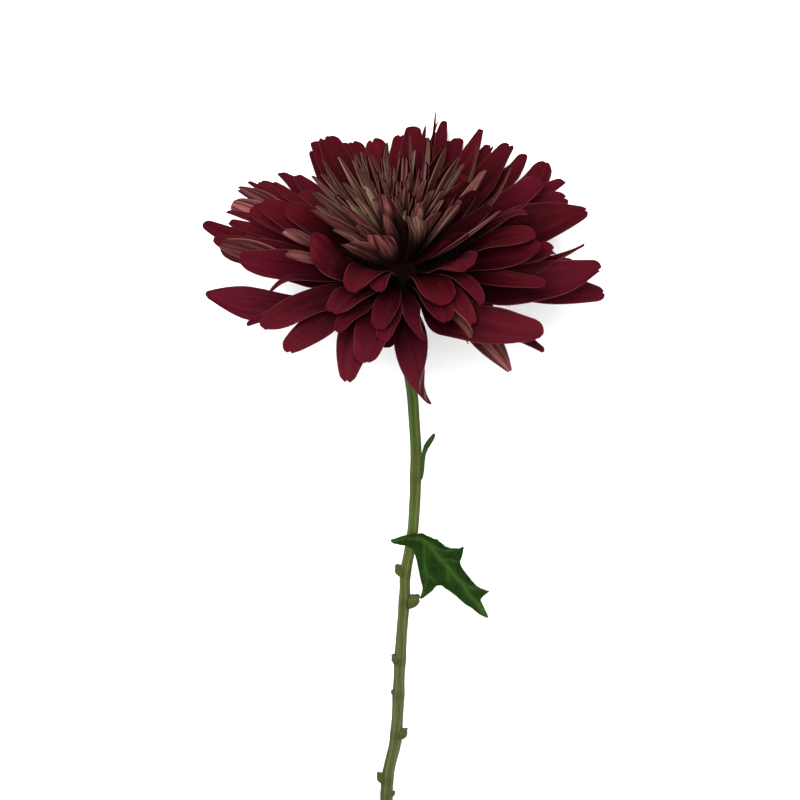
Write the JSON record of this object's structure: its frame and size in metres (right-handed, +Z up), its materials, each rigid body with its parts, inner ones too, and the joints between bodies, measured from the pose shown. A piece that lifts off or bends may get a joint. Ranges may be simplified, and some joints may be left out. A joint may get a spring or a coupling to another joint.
{
  "type": "disbud chrysanthemum",
  "caption": "Large double chrysanthemum bloom with long spreading florets, a dense quilled heart, a green calyx and a leafy cut stem, lying on its side.",
  "frame": {"origin": "middle of the underside of the whole part, on the surface that it lies on", "axes": "+X across the bloom, +Y from the stem's cut end to the bloom, +Z up from the surface that it lies on"},
  "size_m": [0.1408, 0.2756, 0.1101],
  "materials": {
    "petal": "deep burgundy floret, soft satin",
    "petal_back": "buff and dusky pink floret backs, matte",
    "calyx": "matte green scales",
    "stem": "ridged olive green stem, satin",
    "leaf": "dark green leaf, satin"
  },
  "bodies": {
    "root": {"ray_florets": "petal", "heart_florets": "petal_back", "calyx": "calyx", "stem": "stem", "leaf": "leaf", "bract_leaf": "leaf"}
  },
  "joints": []
}
